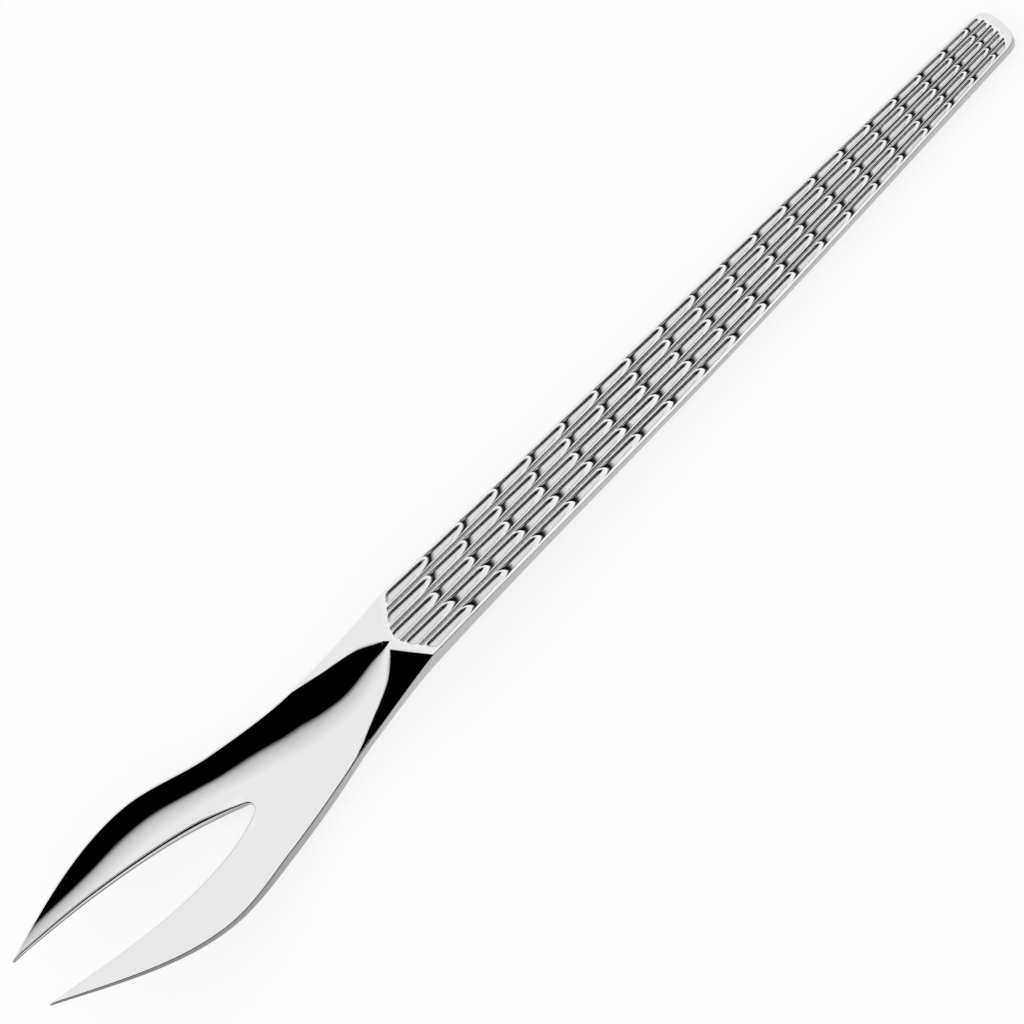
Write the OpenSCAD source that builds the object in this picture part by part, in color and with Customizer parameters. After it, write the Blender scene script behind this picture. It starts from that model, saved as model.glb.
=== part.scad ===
// Serving fork with two tines, coined and forged from one bar of stainless steel.
// X runs from the points of the tines to the end of the handle, Z is up, and the
// fork lies bowl up on the table, on its belly and on the end of its handle.
// Each station names one place along the fork, with its width, height and thickness.

/* [Overall] */
// Length from the points of the tines to the end of the handle
overall_len = 240; // [215:1:265]
// Softened edge all round the blank
edge_soft = 0.25; // [0.15:0.05:0.35]

/* [Tines] */
// Distance between the middles of the two points
tip_spread = 10.7; // [9.6:0.1:11.6]
// Width left at each point
tip_w = 0.5; // [0.4:0.1:0.8]
// Angle at which the outer edge leaves the point, in degrees
tip_flare = 25; // [20:1:30]
// Height of the points above the table
tip_rise = 18.3; // [15:0.1:21]
// Angle at which the tine rises to its point, in degrees
tip_pitch = 13; // [8:1:16]
// Thickness at the points
tip_t = 1.9; // [1.5:0.1:2.2]
// Widest part of the gap between the tines
gap_w = 12.1; // [11:0.1:13]
// Distance from the points to the widest part of the gap
gap_x = 17; // [14:1:22]
// Length of the gap, from the points to its round root
gap_len = 48.8; // [47:0.1:53]
// Radius of the round root of the gap
gap_root_r = 1.4; // [1:0.1:1.8]

/* [Bowl] */
// Distance from the points to the widest part of the bowl
bowl_x = 31.8; // [29:1:35]
// Width of the bowl at its widest
bowl_w = 31.5; // [28:0.1:34]
// Height of the edges at the widest part
bowl_rise = 8.5; // [7.5:0.1:9.5]
// Thickness at the widest part
bowl_t = 2; // [1.5:0.1:2.5]
// Depth of the hollow under its edges at the widest part
bowl_hollow = 2.2; // [1.2:0.05:2.6]
// Width across the root of the gap
root_w = 25.3; // [23:0.1:27]
// Height of the edges at the root of the gap
root_rise = 4.3; // [4.2:0.1:5]
// Thickness at the root of the gap
root_t = 2.7; // [2:0.1:3]
// Distance from the root of the gap to the belly, on which the bowl rests
belly_back = 10.2; // [8:0.1:12]
// Height of the edges at the belly
belly_rise = 3.65; // [3.5:0.1:4.1]
// Thickness at the edges of the belly
belly_t = 2.7; // [2.4:0.1:3.1]
// Depth of the hollow at the belly
belly_hollow = 1.65; // [1.2:0.05:2.1]
// Thickness along the middle of the bowl
plate_t = 2; // [1.7:0.1:2.5]

/* [Neck] */
// Distance from the points to the waist, where the bowl becomes the neck
waist_x = 71; // [68:1:74]
// Width of the waist
waist_w = 17.8; // [16:0.1:19]
// Height of the edges at the waist
waist_rise = 5; // [4.5:0.05:5.4]
// Thickness at the edges of the waist
waist_t = 2.5; // [2:0.1:2.8]
// Depth of the scoop at the waist
waist_hollow = 1.4; // [0.9:0.05:1.6]
// Distance from the points to the shoulders, where the pointed rim of the flat face ends
rim_x = 91; // [88:1:94]
// Width across the shoulders
rim_w = 15.8; // [14:0.1:16.4]
// Height of the flat face at the shoulders
rim_rise = 8.25; // [7.6:0.1:8.8]
// Thickness at the shoulders
rim_t = 3.8; // [3:0.1:4.2]
// Reach of the pointed rim from the shoulders towards the bowl
rim_reach = 5.7; // [4.5:0.1:7]

/* [Handle] */
// Width halfway along the handle
grip_w = 13.9; // [12.5:0.1:14.5]
// Height of the flat face halfway along the handle
grip_rise = 4.4; // [4:0.05:5]
// Thickness at the edges halfway along the handle
grip_t = 1.85; // [1.6:0.1:2.3]
// Width that the handle tapers to at its end
end_w = 9; // [7.5:0.1:9.5]
// Height of the flat face at the end of the handle
end_rise = 2.7; // [2.6:0.05:3.2]
// Thickness at the edges of the end
end_t = 2.4; // [2.2:0.05:2.8]
// Length over which the end of the handle is rounded
end_round = 3.2; // [2.5:0.1:4]
// Crown of the underside below its edges along the handle
crown = 0.8; // [0.5:0.05:1]
// Crown of the underside at the end of the handle
end_crown = 0.3; // [0.2:0.05:0.5]

/* [Scale pattern] */
// Columns of scales across the handle
columns = 5; // [4:1:6]
// Length of the scales beside the shoulders, which shrinks with the width of the handle
scale_len = 9.1; // [8:0.1:10.5]
// Distance from the point of the rim to the first tips along the middle
first_tip = 13.5; // [12:0.1:15]
// Width of the groove between two columns, as a share of the width of a scale
groove_share = 0.34; // [0.25:0.01:0.45]
// Length over which a scale narrows to its round tip, as a fingernail does
tip_round = 3.8; // [2:0.1:4.4]
// Lead of the outer tips over the middle ones beside the shoulders
tip_lead = 3.7; // [2:0.1:4]
// Plain land between the scales and the side of the handle
side_land = 0.4; // [0.35:0.05:0.6]
// Plain land behind the point of the rim
rim_land = 2.6; // [2:0.1:3]
// Plain land at the end of the handle
end_land = 1.5; // [1.3:0.1:2.2]
// Depth of the pocket in front of each tip
pocket_d = 0.6; // [0.5:0.05:0.7]
// Depth of the grooves between the columns
groove_d = 0.42; // [0.3:0.02:0.5]
// Depth of the trough along each scale
trough_d = 0.36; // [0.2:0.02:0.42]
// Depth of the lips of the scales below the plain land
lip_d = 0.05; // [0.03:0.01:0.08]
// Share of a scale over which its root climbs out of the pocket
root_share = 0.22; // [0.15:0.01:0.35]
// Width of the lip along a scale, as a share of the width of the scale
lip_share = 0.09; // [0.07:0.01:0.13]

/* [Hidden] */

// Places and directions that follow from the sizes above
belly_x = gap_len + belly_back;
grip_x = (rim_x + overall_len) / 2;
straight_x = (grip_x + overall_len) / 2;
apex_x = rim_x - rim_reach;
first_x = apex_x + first_tip;
hollow_tip = 0.5;
root_angle = 21;
draft = 0.12;
cut_over = 4;

// How finely the surfaces are drawn
ring_step = 3.1;
grip_step = 9;
across = [0, 0.1, 0.22, 0.36, 0.5, 0.65, 0.8, 0.9, 1];
below = [1, 0.75, 0.5, 0.25];
end_steps = [0, 0.45, 0.7, 0.86, 0.95, 1];
end_fullness = 3;
end_flat = 0.97;
disc_faces = 32;
gap_steps = 14;

// Stations along the fork as [x, value], where a third number fixes the slope
width_line = [
    [0, (tip_spread + tip_w) / 2, tan(tip_flare)],
    [bowl_x, bowl_w / 2],
    [gap_len, root_w / 2],
    [waist_x, waist_w / 2],
    [rim_x, rim_w / 2],
    [grip_x, grip_w / 2],
    [overall_len, end_w / 2]
];
gap_line = [
    [0, (tip_spread - tip_w) / 2],
    [gap_x, gap_w / 2],
    [gap_len - gap_root_r, gap_root_r, -tan(root_angle)]
];
edge_line = [
    [0, tip_rise, -tan(tip_pitch)],
    [bowl_x, bowl_rise],
    [gap_len, root_rise],
    [belly_x, belly_rise],
    [waist_x, waist_rise],
    [rim_x, rim_rise]
];
face_line = [
    [rim_x, rim_rise],
    [grip_x, grip_rise],
    [overall_len, end_rise]
];
under_line = [
    [0, tip_rise - tip_t],
    [bowl_x, bowl_rise - bowl_t],
    [gap_len, root_rise - root_t],
    [belly_x, belly_rise - belly_t],
    [waist_x, waist_rise - waist_t],
    [rim_x, rim_rise - rim_t],
    [grip_x, grip_rise - grip_t],
    [overall_len, end_rise - end_t]
];
crown_line = [
    [0, hollow_tip],
    [bowl_x, plate_t + bowl_hollow - bowl_t],
    [belly_x, plate_t + belly_hollow - belly_t],
    [rim_x, crown],
    [grip_x, crown],
    [overall_len, end_crown]
];

// A smooth line through stations, which never swings past them
function chord(line, i) = (line[i + 1][1] - line[i][1]) / (line[i + 1][0] - line[i][0]);
function mean_slope(a, b) = a * b <= 0 ? 0 : 2 * a * b / (a + b);
function slope(line, i) =
    is_num(line[i][2]) ? line[i][2] :
    i == 0 ? chord(line, 0) :
    i == len(line) - 1 ? chord(line, i - 1) :
    mean_slope(chord(line, i - 1), chord(line, i));
function span(line, x) = max([for (i = [0 : len(line) - 2]) if (i == 0 || x >= line[i][0]) i]);
function curve(line, x) =
    let (i = span(line, x), gap = line[i + 1][0] - line[i][0], t = (x - line[i][0]) / gap)
    line[i][1] * (1 - 3 * t ^ 2 + 2 * t ^ 3)
    + line[i + 1][1] * (3 * t ^ 2 - 2 * t ^ 3)
    + slope(line, i) * gap * (t - 2 * t ^ 2 + t ^ 3)
    + slope(line, i + 1) * gap * (t ^ 3 - t ^ 2);

// A dish that climbs from 0 in the middle to 1 at the sides: with little roundness it is
// nearly a V, and with much it is a bowl
function dish(s, roundness) =
    (sqrt(s ^ 2 + roundness ^ 2) - roundness) / (sqrt(1 + roundness ^ 2) - roundness);

// Height of the flat face of the handle, carried on in a straight line up to the apex
function face_z(x) =
    x < rim_x ? rim_rise - slope(face_line, 0) * (rim_x - x) : curve(face_line, x);

// The two flanks fall outwards from the pointed rim, and the scoop is cut between them
flank_fall = (face_z(apex_x) - curve(edge_line, apex_x)) / curve(width_line, apex_x);
hollow_line = [
    [0, hollow_tip],
    [bowl_x, bowl_hollow],
    [belly_x, belly_hollow],
    [waist_x, waist_hollow],
    [apex_x, curve(edge_line, apex_x) - face_z(apex_x)]
];
bowl_roundness = 2;
neck_roundness = 0.3;
scoop_fullness = 1.5;
function to_apex(x) = min(1, max(0, (apex_x - x) / (apex_x - waist_x)));
function scoop_w(x) = curve(width_line, x) * (1 - (1 - to_apex(x)) ^ scoop_fullness);
function scoop_roundness(x) = neck_roundness + (bowl_roundness - neck_roundness)
    * min(1, max(0, (apex_x - x) / (apex_x - bowl_x)));
function flank_z(x, y) = curve(edge_line, x) + flank_fall * max(0, curve(width_line, x) - abs(y));
function scoop_z(x, y) =
    let (half = scoop_w(x), mid = curve(edge_line, x) - curve(hollow_line, x))
    mid + (flank_z(x, half) - mid) * dish(abs(y) / half, scoop_roundness(x));
function top_z(x, y) =
    x >= rim_x ? face_z(x) :
    x >= apex_x ? min(face_z(x), flank_z(x, y)) :
    abs(y) < scoop_w(x) ? scoop_z(x, y) : flank_z(x, y);

// The underside is one smooth line at its edges, crowned downwards in the middle
function under_z(x, y) =
    curve(under_line, x) - curve(crown_line, x) * (1 - (y / curve(width_line, x)) ^ 2);

// Sections as [x at the middle, sweep of the edges towards the handle, half-width]
function bowl_sweep(x) = rim_reach * (max(0, x - gap_len) / (apex_x - gap_len)) ^ 2;
function grip_sweep(x) = rim_reach * max(0, 1 - (x - apex_x) / (grip_x - apex_x));
function end_w_share(u) = (1 - (end_flat * u) ^ end_fullness) ^ (1 / end_fullness);
function ring(x, sweep, share = 1) = [x, sweep, curve(width_line, x + sweep) * share];
bowl_rings = ceil(apex_x / ring_step);
end_x = overall_len - end_round;
grip_rings = ceil((end_x - apex_x) / grip_step);
rings = concat(
    [for (i = [0 : bowl_rings - 1]) let (x = apex_x * i / bowl_rings) ring(x, bowl_sweep(x))],
    [for (i = [0 : grip_rings - 1])
        let (x = apex_x + (end_x - apex_x) * i / grip_rings) ring(x, grip_sweep(x))],
    [for (u = end_steps) ring(end_x + end_round * u, 0, end_w_share(u))]
);
table_z = min([for (r = rings) under_z(r[0], 0)]);

// One section as a closed line of points: over the top, down the side, back underneath
nose_roundness = 0.3;
function swept(r, s) = r[0] + r[1] * dish(s, nose_roundness);
function mirrored(list) = [for (i = [len(list) - 1 : -1 : 0]) -list[i]];
function section(r) =
    let (
        half = r[2],
        flat = half - edge_soft,
        edge_x = r[0] + r[1],
        upper = top_z(edge_x, half) - edge_soft,
        lower = under_z(edge_x, half) + edge_soft,
        top = concat([for (s = mirrored(across)) s], [for (i = [1 : len(across) - 1]) across[i]]),
        bottom = concat(below, [0], mirrored(below))
    )
    concat(
        [for (s = top) let (x = swept(r, abs(s)), y = s * flat) [x, y, top_z(x, y)]],
        [[edge_x, half, upper], [edge_x, half, lower]],
        [for (s = bottom) let (x = swept(r, abs(s)), y = s * flat) [x, y, under_z(x, y)]],
        [[edge_x, -half, lower], [edge_x, -half, upper]]
    );

// A closed skin over sections of equal length, with flat ends
module skin(sections) {
    count = len(sections[0]);
    last = len(sections) - 1;
    sides = [
        for (i = [0 : last - 1], j = [0 : count - 1])
            let (a = i * count + j, b = i * count + (j + 1) % count)
            each [[a, b, b + count], [a, b + count, a + count]]
    ];
    start_cap = [for (j = [count - 1 : -1 : 0]) j];
    end_cap = [for (j = [0 : count - 1]) last * count + j];
    polyhedron(points = [for (s = sections) each s], faces = concat(sides, [start_cap, end_cap]));
}

module blank() {
    skin([for (r = rings) section(r)]);
}

// The gap between the tines, cut through as a row of discs with hulls between them
module gap_disc(x) {
    translate([x, 0, -cut_over])
        cylinder(h = tip_rise + 2 * cut_over, r = curve(gap_line, max(0, x)), $fn = disc_faces);
}

module tine_gap() {
    last = gap_len - gap_root_r;
    step = (last + cut_over) / gap_steps;
    for (i = [0 : gap_steps - 1]) {
        hull() {
            gap_disc(last - step * (i + 1));
            gap_disc(last - step * i);
        }
    }
}

// Tips of the scales along the middle: each scale is as long as the handle there allows
function scale_step(x) = scale_len * curve(width_line, x) / (rim_w / 2);
function tips(x) =
    x + scale_step(x) / 2 > overall_len - end_land ? [] : concat([x], tips(x + scale_step(x)));
tip_list = tips(first_x);
rows = len(tip_list) + 1;

// Lines across the handle as [place from -1 to 1, place across the scale or -1 in a groove]
scale_share = 2 / (columns + (columns - 1) * groove_share);
cross_scale = [0, lip_share, 0.25, 0.5, 0.75, 1 - lip_share, 1];
lanes = [
    for (c = [0 : columns - 1])
        let (start = -1 + c * scale_share * (1 + groove_share))
        each concat(
            [for (f = cross_scale) [start + scale_share * f, f]],
            c < columns - 1 ? [[start + scale_share * (1 + groove_share / 2), -1]] : []
        )
];
function in_groove(f) = f <= 0 || f >= 1;
function round_back(f) = in_groove(f) ? 1 : 1 - sqrt(1 - (2 * f - 1) ^ 2);

// Where row i starts on a lane; the last place is the land at the end of the handle
end_bow = 0.9;
function lead(x) = tip_lead * max(0, (straight_x - x) / (straight_x - first_x));
function row_start(i, v, f) =
    i == 0 ? apex_x + rim_land + (rim_reach - rim_land / 2) * dish(abs(v), nose_roundness) :
    i == rows ? overall_len - end_land - end_bow * abs(v) ^ end_fullness :
    let (x = tip_list[i - 1])
    x + lead(x) * dish(abs(v), nose_roundness)
        - tip_round * round_back(f) * curve(width_line, x) / (rim_w / 2);

// Depth under the flat face at a place p along a scale and f across it
along_scale = [0, root_share, 1 - lip_share, 1];
function trough(f) = trough_d * max(0, 1 - (abs(2 * f - 1) / (1 - 2 * lip_share)) ^ 2);
function depth(i, p, f) =
    in_groove(f) ? groove_d + (pocket_d - groove_d) * (1 - p) / 2 :
    p == 0 && i > 0 ? pocket_d :
    p == 1 ? lip_d :
    lip_d + trough(f);
function relief_point(i, p, lane) =
    let (
        from = row_start(i, lane[0], lane[1]) + (i > 0 ? draft : 0),
        to = row_start(i + 1, lane[0], lane[1]),
        x = from + (to - from) * p,
        y = lane[0] * (curve(width_line, x) - side_land)
    )
    [x, y, face_z(x) - depth(i, p, lane[1])];

// The die that coins the scales into the flat face: relief below, a flat lid above
module scale_die() {
    lid = rim_rise + cut_over;
    relief = [for (i = [0 : rows - 1], p = along_scale) [for (lane = lanes) relief_point(i, p, lane)]];
    count = len(lanes);
    lines = len(relief);
    up = count * lines;
    points = concat(
        [for (line = relief) each line],
        [for (line = relief) each [for (q = line) [q[0], q[1], lid]]]
    );
    cells = [for (i = [0 : lines - 2], j = [0 : count - 2]) i * count + j];
    bottom = [for (a = cells) each [[a + count + 1, a + 1, a], [a + count, a + count + 1, a]]];
    top = [for (f = bottom) [f[2] + up, f[1] + up, f[0] + up]];
    border = concat(
        [for (j = [0 : count - 1]) j],
        [for (i = [1 : lines - 1]) i * count + count - 1],
        [for (j = [count - 2 : -1 : 0]) (lines - 1) * count + j],
        [for (i = [lines - 2 : -1 : 1]) i * count]
    );
    walls = [
        for (k = [0 : len(border) - 1])
            let (a = border[k], b = border[(k + 1) % len(border)])
            each [[a + up, a, b], [b + up, a + up, b]]
    ];
    polyhedron(points = points, faces = concat(bottom, top, walls));
}

module serving_fork() {
    color("silver")
        translate([-overall_len / 2, 0, -table_z])
            difference() {
                blank();
                tine_gap();
                scale_die();
            }
}

serving_fork();
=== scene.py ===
# %% [markdown]
# # A two-tined serving fork in mirror-polished steel
#
# The real fork is one bar of stainless steel. It is forged to a shallow bowl with two
# tines, cut to its outline, coined with rows of scales along the handle and polished.
# Two things make such a piece look right. The first is the shape: polished metal has no
# colour of its own, so what shows is how its curves bend the room around it. The second
# is that room: white walls give the metal its light, and one black card over the bowl
# draws the dark band that tells the eye how deep the bowl is.
#
# The lesson goes in this order: the smooth lines that rule the shape, the faces between
# them, the scales, the mesh, the finishes, and last the little studio.

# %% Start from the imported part
import math

import bmesh
import bpy
import numpy as np
from mathutils import Matrix, Vector


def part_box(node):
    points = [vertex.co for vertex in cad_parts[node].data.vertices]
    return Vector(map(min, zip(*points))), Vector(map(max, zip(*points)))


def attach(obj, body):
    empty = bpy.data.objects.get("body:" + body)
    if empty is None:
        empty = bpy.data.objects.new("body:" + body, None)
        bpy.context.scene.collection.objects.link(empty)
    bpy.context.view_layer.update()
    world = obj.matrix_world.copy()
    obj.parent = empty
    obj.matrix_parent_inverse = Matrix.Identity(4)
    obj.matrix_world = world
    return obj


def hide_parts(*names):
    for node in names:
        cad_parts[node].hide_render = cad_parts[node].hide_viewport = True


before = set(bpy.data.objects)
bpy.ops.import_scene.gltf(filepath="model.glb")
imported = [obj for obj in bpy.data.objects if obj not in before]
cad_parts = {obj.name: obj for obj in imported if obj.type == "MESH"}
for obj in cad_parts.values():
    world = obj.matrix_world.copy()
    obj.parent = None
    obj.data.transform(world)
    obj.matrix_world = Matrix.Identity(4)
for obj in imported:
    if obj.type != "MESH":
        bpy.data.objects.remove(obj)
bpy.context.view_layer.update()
MM = 0.001

# %% [markdown]
# ## Stations along the fork
#
# A forged bar is drawn by its stations: at a few places along it the designer fixes the
# width, the height of the edges and the thickness, and smooth lines run between them.
# The places below are millimetres from the points of the tines. A third number in a
# station fixes the slope of the line there.

# %% Sizes in millimetres
LENGTH = 240
GAP_LENGTH = 48
GAP_ROOT = 1.3
BOWL_X = 31.8
BELLY_X = 59
WAIST_X = 71
RIM_X = 91
RIM_REACH = 5.7
APEX_X = RIM_X - RIM_REACH
GRIP_X = (RIM_X + LENGTH) / 2
STRAIGHT_X = (GRIP_X + LENGTH) / 2
END_ROUND = 3.2
RIM_HALF = 7.9
NOSE_ROUNDNESS = 0.3

width_line = [
    (0, 5.6, math.tan(math.radians(25))),
    (BOWL_X, 15.75),
    (GAP_LENGTH, 12.65),
    (WAIST_X, 9.1),
    (RIM_X, RIM_HALF),
    (GRIP_X, 6.95),
    (LENGTH, 4.5),
]
gap_end = (GAP_LENGTH - GAP_ROOT, GAP_ROOT, -math.tan(math.radians(21)))
gap_line = [(0, 5.4), (17, 6.05), gap_end]
edge_line = [
    (0, 18.3, -math.tan(math.radians(13))),
    (BOWL_X, 8.5),
    (GAP_LENGTH, 4.3),
    (BELLY_X, 3.65),
    (WAIST_X, 4.6),
    (RIM_X, 8.25),
]
face_line = [(RIM_X, 8.25), (GRIP_X, 4.4), (LENGTH, 2.7)]
under_line = [
    (0, 17.5),
    (BOWL_X, 6.5),
    (GAP_LENGTH, 1.6),
    (BELLY_X, 0.95),
    (WAIST_X, 2.5),
    (RIM_X, 4.45),
    (GRIP_X, 2.55),
    (LENGTH, 0.3),
]
crown_line = [
    (0, 0.5), (BOWL_X, 2.2), (BELLY_X, 0.95), (RIM_X, 0.8), (GRIP_X, 0.8), (LENGTH, 0.3),
]


def curve(line, x):
    """A smooth line through stations that never swings past them."""
    places = np.array([station[0] for station in line], float)
    values = np.array([station[1] for station in line], float)
    chords = np.diff(values) / np.diff(places)
    slopes = np.concatenate([chords[:1], np.zeros(len(line) - 2), chords[-1:]])
    for i in range(1, len(line) - 1):
        if chords[i - 1] * chords[i] > 0:
            slopes[i] = 2 * chords[i - 1] * chords[i] / (chords[i - 1] + chords[i])
    for i, station in enumerate(line):
        if len(station) == 3:
            slopes[i] = station[2]
    x = np.asarray(x, float)
    i = np.clip(np.searchsorted(places, x, side="right") - 1, 0, len(line) - 2)
    gap = places[i + 1] - places[i]
    t = (x - places[i]) / gap
    return (
        values[i] * (1 - 3 * t**2 + 2 * t**3)
        + values[i + 1] * (3 * t**2 - 2 * t**3)
        + slopes[i] * gap * (t - 2 * t**2 + t**3)
        + slopes[i + 1] * gap * (t**3 - t**2)
    )


def eased(line, x, reach=6.0):
    """The same line with its bends drawn out, because polished metal shows each small one."""
    x = np.asarray(x, float)
    near = np.minimum(reach, np.minimum(x - line[0][0], line[-1][0] - x))
    parts = zip((1, 2, 3, 2, 1), (-1, -0.5, 0, 0.5, 1))
    return sum(weight * curve(line, x + shift * near) for weight, shift in parts) / 9


print("half-widths at the stations:", [float(curve(width_line, s[0])) for s in width_line])

# %% [markdown]
# ## The faces of the blank
#
# The upper face is made of three surfaces that cut each other, as on the real fork. The
# handle is flat. Two flanks fall outwards from its pointed rim. A scoop is cut between
# the flanks, a narrow valley at the rim that opens into the round bowl. The lowest of the
# three is the steel that is left, so a minimum joins them. Polishing never leaves a
# knife edge, so it is a soft minimum, which rounds each crease by a chosen amount. What
# the scoop leaves of the flanks is the land beside it. Its share of the width is a line of
# stations too, and it runs from nothing in the bowl to the whole width at the rim.


# %% Dish, scoop and flanks
def dish(share, roundness):
    """0 in the middle and 1 at the sides: nearly a V, or with much roundness a bowl."""
    return (np.hypot(share, roundness) - roundness) / (np.hypot(1, roundness) - roundness)


def soft_min(a, b, radius):
    """The lower of two heights, rounded where they are closer than the radius."""
    near = np.clip(1 - np.abs(a - b) / radius, 0, 1)
    return np.minimum(a, b) - near**2 * radius / 4


rim_slope = (face_line[1][1] - face_line[0][1]) / (face_line[1][0] - face_line[0][0])


def face_z(x):
    """Height of the flat face, carried on in a straight line up to the apex of the rim."""
    x = np.asarray(x, float)
    before = face_line[0][1] + rim_slope * (x - RIM_X)
    return np.where(x < RIM_X, before, curve(face_line, np.maximum(x, RIM_X)))


SCOOP_END = APEX_X + 1.6
SCOOP_RUN = 30
SCOOP_AT_RIM, SCOOP_AT_BOWL = 0.3, 2.0
CREASE_SOFT, RIM_SOFT = 0.12, 0.02
land_line = [
    (0, 0), (7, 0), (12, 0.08), (16.1, 0.2), (24.2, 0.47), (28.4, 0.82), (SCOOP_RUN, 1),
]
flank_fall = float((face_z(APEX_X) - eased(edge_line, APEX_X)) / curve(width_line, APEX_X))
hollow_line = [
    (0, 0.5),
    (BOWL_X, 2.2),
    (BELLY_X, 1.65),
    (WAIST_X, 1.4),
    (SCOOP_END, float(eased(edge_line, SCOOP_END) - face_z(SCOOP_END))),
]


def top_z(x, y):
    """Height of the upper face, in millimetres above the drawing plane."""
    x, y = np.asarray(x, float), np.abs(y)
    width = curve(width_line, x)
    edge = eased(edge_line, np.minimum(x, RIM_X))
    slant = edge + flank_fall * np.maximum(0, width - y)
    closed = 1 - np.clip((SCOOP_END - x) / SCOOP_RUN, 0, 1)
    half = np.maximum(width * (1 - curve(land_line, closed * SCOOP_RUN)), 1e-3)
    open_up = np.clip((APEX_X - x) / (APEX_X - BOWL_X), 0, 1)
    roundness = SCOOP_AT_RIM + (SCOOP_AT_BOWL - SCOOP_AT_RIM) * open_up
    middle = edge - eased(hollow_line, np.minimum(x, SCOOP_END))
    ridge = edge + flank_fall * (width - half)
    scoop = middle + (ridge - middle) * dish(y / half, roundness)
    crease = 1e-4 + CREASE_SOFT * closed**2
    cut = np.where(x < SCOOP_END, soft_min(slant, scoop, crease), slant)
    rim = np.where(x > WAIST_X, soft_min(face_z(x), cut, RIM_SOFT), cut)
    return np.where(x < RIM_X, rim, face_z(x))


def under_z(x, y):
    """Height of the underside, which is crowned downwards in the middle."""
    share = np.abs(y) / curve(width_line, x)
    return curve(under_line, x) - curve(crown_line, x) * (1 - share**2)


print("fall of the flanks:", round(flank_fall, 4), "bowl floor:", float(top_z(BELLY_X, 0.0)))

# %% [markdown]
# ## The scales
#
# The coining die presses five columns of long scales into the flat face. Each scale is a
# shallow trough that ends in a broad raised lip. The lip stands over a pocket, and out of
# the pocket the next scale climbs. All scales are alike, and they shrink with the width of
# the handle.
#
# What repeats is a job for Geometry Nodes. One scale is modelled once, as a tile one unit
# long and one unit wide. The tree sets a copy on every place of a grid, makes the copies
# real, and lays the flat sheet of tiles on a guide: a mesh of the handle's face whose UV
# map counts the scales. Row 7, column 3 in the sheet lands on row 7, column 3 of the
# handle, whatever its width there.

# %% Rows and columns
COLUMNS = 5
SCALE_LENGTH = 9.1
FIRST_TIP = 13.5
GROOVE_SHARE = 0.34
TIP_LEAD = 3.7
SIDE_LAND = 0.4
RIM_LAND = 2.6
END_LAND = 1.5
END_BOW = 0.9
BORDER_SQUEEZE = 0.25


def scale_step(x):
    """Length of a scale, which shrinks with the width of the handle."""
    return SCALE_LENGTH * float(curve(width_line, x)) / RIM_HALF


tips = []
next_tip = APEX_X + FIRST_TIP
while next_tip + scale_step(next_tip) / 2 <= LENGTH - END_LAND:
    tips.append(next_tip)
    next_tip += scale_step(next_tip)
ROWS = len(tips) + 1
CELL = 1 + GROOVE_SHARE
outer_share = COLUMNS + (COLUMNS - 1) * GROOVE_SHARE


def half_outline(x):
    """Half the width of the blank, with its round end."""
    u = np.clip((np.asarray(x, float) - (LENGTH - END_ROUND)) / END_ROUND, 0, 1)
    return curve(width_line, x) * (1 - u**3) ** (1 / 3)


def row_line(row, share):
    """Place along the fork of the line where a row starts, at a share of the width."""
    nose = dish(np.abs(share), NOSE_ROUNDNESS)
    if row == 0:
        return APEX_X + RIM_LAND + (RIM_REACH - RIM_LAND / 2) * nose
    if row == ROWS:
        return LENGTH - END_LAND - END_BOW * np.abs(share) ** 3
    x = tips[row - 1]
    return x + TIP_LEAD * max(0, (STRAIGHT_X - x) / (STRAIGHT_X - tips[0])) * nose


def seat(along, across):
    """The point of the flat face at a place counted in rows and columns."""
    share = (across - COLUMNS / 2) * 2 * CELL / outer_share
    inside = np.clip(share, -1, 1)
    share = inside + BORDER_SQUEEZE * (share - inside)
    row = min(int(along), ROWS - 1)
    part = along - row
    x = (1 - part) * row_line(row, share) + part * row_line(row + 1, share)
    y = share * (curve(width_line, x) - SIDE_LAND)
    return x, y, face_z(x)


print(ROWS, "rows, tips at", np.round(tips, 1).tolist())

# %% [markdown]
# ### The tile of one scale
#
# Seen closely, the scales of a column lie between two ridges that run on for the whole
# handle. From each ridge a soft shoulder leads to a short steep step, and between the
# steps lies the flat floor of the scale. At its end the scale has a broad lip. The lip is
# blunt on one side and drawn out on the other, as on a fingernail cut a little askew.
# Right in front of it is a pocket, and out of the pocket the next floor climbs.
#
# The tile has a few hundred faces. Its rows are bent like the lip and its columns follow
# the step, so few faces are enough. Sizes are millimetres beside the shoulders of the
# handle, where the scales are largest. A place on the tile has two numbers: along it from
# 0 to 1, and to the side of its middle line in millimetres.

# %% Profile of one scale
HALF_CELL = CELL * (RIM_HALF - SIDE_LAND) / outer_share
CREST_START, RIDGE_CREST, RIDGE_FOOT = 0.96, 1.06, 1.14
GROOVE_BROW, GROOVE_WALL = 1.28, 1.42
BLUNT_LENGTH, DRAWN_LENGTH = 1.9, 4.0
LIP_BAND, FULLNESS = 0.45, 2.3
LIP_DEPTH, SHOULDER_DROP, FLOOR_DEPTH, GROOVE_DEPTH = 0.01, 0.09, 0.28, 0.13
STEP_WIDTH = 0.3
FOOT_DROP, FOOT_WIDTH = 0.1, 0.12
foot_line = [(0, 0.3), (1.2, 0.32), (SCALE_LENGTH - 0.6, 0.56), (SCALE_LENGTH, 0.3)]
groove_line = [
    (RIDGE_CREST, 0), (RIDGE_FOOT, 0.015), (GROOVE_BROW, 0.06), (GROOVE_WALL, 0.11),
    (HALF_CELL, GROOVE_DEPTH),
]


def straight(line, x):
    """A value on straight lines from place to place."""
    return float(np.interp(x, *zip(*line)))


def step_foot(along):
    """How far beside the middle line the foot of the step runs."""
    return straight(foot_line, SCALE_LENGTH * (1 - along))


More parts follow.
